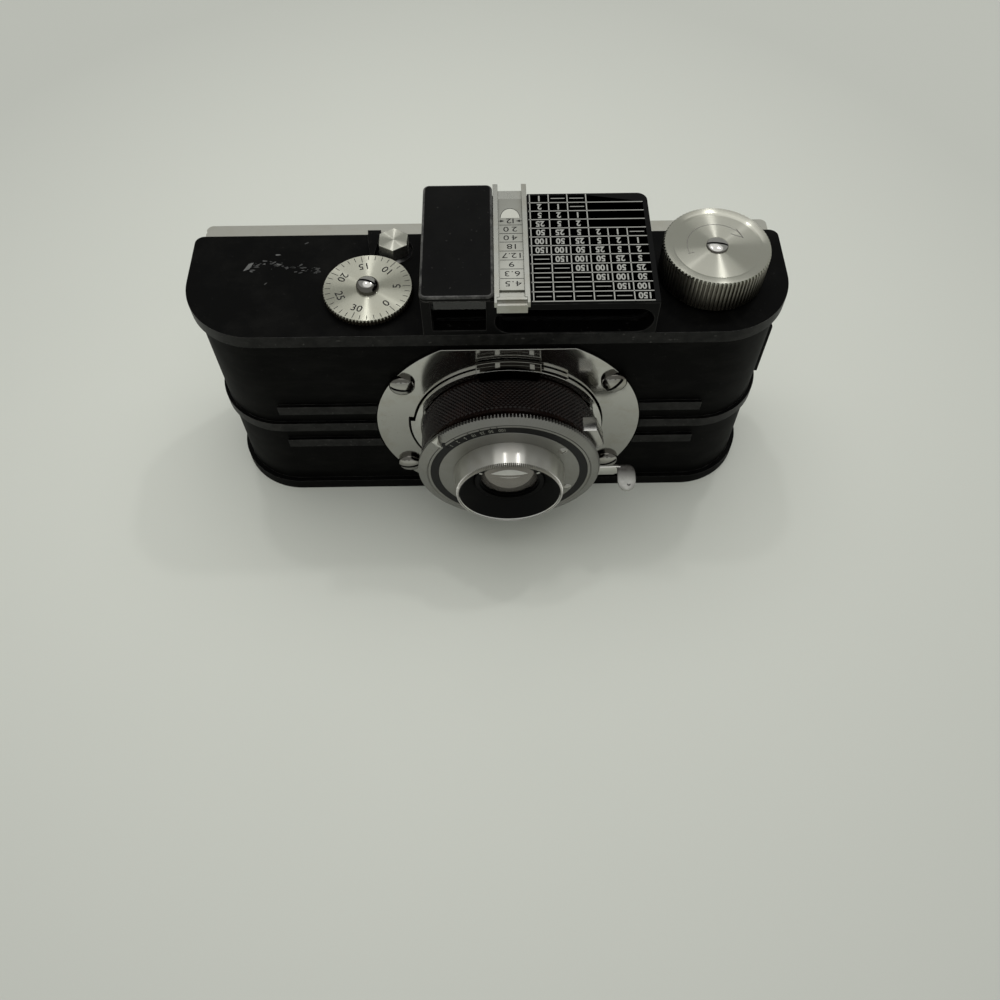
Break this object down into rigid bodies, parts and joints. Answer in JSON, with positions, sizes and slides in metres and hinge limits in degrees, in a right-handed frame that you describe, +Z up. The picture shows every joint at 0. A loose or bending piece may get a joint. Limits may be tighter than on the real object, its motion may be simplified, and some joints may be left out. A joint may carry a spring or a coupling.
{
  "type": "miniature camera",
  "caption": "Compact 35 mm film camera with a rounded black body, a lens in a leaf shutter, a top finder with an exposure table, a frame counter, a winding knob and a hinged back.",
  "frame": {"origin": "middle of the length and depth, on the surface that the camera stands on", "axes": "+X to the right along the body as seen from the front, +Y to the rear (the lens looks along -Y), +Z up"},
  "size_m": [0.133, 0.054, 0.072],
  "materials": {
    "moulding": "satin black moulding, a little dusty",
    "black_cast": "satin black",
    "plate": "bright, slightly tarnished",
    "screws": "bright",
    "satin_metal": "turned satin",
    "dark_ring": "glossy dark brown-black",
    "scale_black": "matt black with pale marks",
    "front_glass": "coated glass",
    "window_glass": "clear glass",
    "table": "black with pale lines and figures",
    "steel": "bright steel",
    "blackened": "matt black",
    "brass": "machined",
    "back_metal": "satin",
    "covering": "black grained covering",
    "black_plastic": "black"
  },
  "bodies": {
    "camera_body": {"body_shell": "moulding", "tripod_bush": "brass", "film_gate": "blackened", "face_plate": "plate", "face_plate_screws": "screws", "bayonet_collar": "plate", "finder_housing": "black_cast", "finder_cap": "black_cast", "finder_front_glass": "window_glass", "finder_eye_lens": "window_glass", "meter_window": "window_glass", "meter_step_wedge": "blackened", "meter_eye_lens": "window_glass", "exposure_table": "table", "slide_channel": "plate", "hinge_pin": "steel", "latch_pin": "steel", "button_spring": "steel"},
    "winder": {"wind_knob": "satin_metal", "wind_knob_screw": "screws", "takeup_core": "black_plastic", "takeup_flange_lower": "black_plastic", "takeup_flange_upper": "black_plastic"},
    "sprocket": {"film_sprocket": "back_metal"},
    "counter": {"counter_dial": "satin_metal", "counter_screw": "screws", "counter_wheel": "brass"},
    "rewinder": {"rewind_knob": "satin_metal", "rewind_fork": "steel"},
    "release_button": {"film_release_button": "satin_metal"},
    "calculator_strip": {"slide_strip": "satin_metal"},
    "back": {"rear_cover": "back_metal", "rear_panel": "covering", "pressure_plate": "blackened", "pressure_spring": "steel"},
    "latch": {"back_latch": "black_cast"},
    "lens_unit": {"lens_sleeve": "plate", "shutter_housing": "satin_metal", "scale_band": "scale_black", "front_plate": "satin_metal", "front_plate_screws": "screws", "iris_blades": "blackened", "lens_barrel": "satin_metal", "lens_retaining_ring": "satin_metal", "front_lens": "front_glass", "rear_lens": "front_glass"},
    "focusing": {"focus_ring": "dark_ring"},
    "speed_setting": {"speed_ring": "satin_metal"},
    "aperture_setting": {"aperture_ring": "steel"},
    "release": {"release_lever": "plate"},
    "blade_upper": {"shutter_blade_upper": "blackened"},
    "blade_lower": {"shutter_blade_lower": "blackened"}
  },
  "joints": [
    {"name": "wind", "type": "hinge", "parent": "camera_body", "child": "winder", "pos_m": [0.0493, 0.00932, 0.06], "axis": [0, 0, -1], "continuous": true},
    {"name": "sprocket_turn", "type": "hinge", "parent": "camera_body", "child": "sprocket", "pos_m": [-0.0225, 0.01498, 0.03], "axis": [0, 0, -1], "continuous": true},
    {"name": "counter_turn", "type": "hinge", "parent": "camera_body", "child": "counter", "pos_m": [-0.026, 0.00483, 0.06], "axis": [0, 0, -1], "continuous": true},
    {"name": "rewind", "type": "hinge", "parent": "camera_body", "child": "rewinder", "pos_m": [-0.0496, 0.00932, 0.003], "axis": [0, 0, 1], "continuous": true},
    {"name": "film_release", "type": "slide", "parent": "camera_body", "child": "release_button", "axis": [0, 0, -1], "range_m": [0, 0.0012], "stiffness_N_per_m": 600, "springref_m": -0.0005, "deforming": ["button_spring"]},
    {"name": "calculator_slide", "type": "slide", "parent": "camera_body", "child": "calculator_strip", "axis": [0, 1, 0], "range_m": [-0.0015, 0.008]},
    {"name": "back_hinge", "type": "hinge", "parent": "camera_body", "child": "back", "pos_m": [-0.065, 0.02457, 0.03], "axis": [0, 0, 1], "range_deg": [0, 115]},
    {"name": "latch_rock", "type": "hinge", "parent": "camera_body", "child": "latch", "pos_m": [0.0644, 0.01582, 0.038], "axis": [0, 0, -1], "range_deg": [0, 5], "stiffness_Nm_per_rad": 0.02, "springref_deg": -2.86},
    {"name": "lens_collapse", "type": "slide", "parent": "camera_body", "child": "lens_unit", "axis": [0, 1, 0], "range_m": [0, 0.005]},
    {"name": "focus_turn", "type": "hinge", "parent": "lens_unit", "child": "focusing", "pos_m": [0.0044, -0.01238, 0.027], "axis": [0, 1, 0], "range_deg": [0, 40]},
    {"name": "speed_turn", "type": "hinge", "parent": "lens_unit", "child": "speed_setting", "pos_m": [0.0044, -0.01937, 0.027], "axis": [0, 1, 0], "range_deg": [0, 50]},
    {"name": "aperture_turn", "type": "hinge", "parent": "lens_unit", "child": "aperture_setting", "pos_m": [0.0044, -0.02038, 0.027], "axis": [0, 1, 0], "range_deg": [-18, 18]},
    {"name": "release_press", "type": "hinge", "parent": "lens_unit", "child": "release", "pos_m": [0.0188, -0.01868, 0.0245], "axis": [0, 1, 0], "range_deg": [0, 11], "stiffness_Nm_per_rad": 0.01, "springref_deg": -2.86},
    {"name": "blade_upper_swing", "type": "hinge", "parent": "lens_unit", "child": "blade_upper", "pos_m": [0.0044, -0.01918, 0.0394], "axis": [0, -1, 0], "range_deg": [0, 32]},
    {"name": "blade_lower_swing", "type": "hinge", "parent": "lens_unit", "child": "blade_lower", "pos_m": [0.0044, -0.01947, 0.0146], "axis": [0, -1, 0], "range_deg": [0, 32]}
  ],
  "couplings": [
    {"joint": "sprocket_turn", "follows": "wind", "ratio": 0.826},
    {"joint": "counter_turn", "follows": "wind", "ratio": -0.022944},
    {"joint": "blade_upper_swing", "follows": "release_press", "ratio": 2.9},
    {"joint": "blade_lower_swing", "follows": "release_press", "ratio": 2.9}
  ]
}
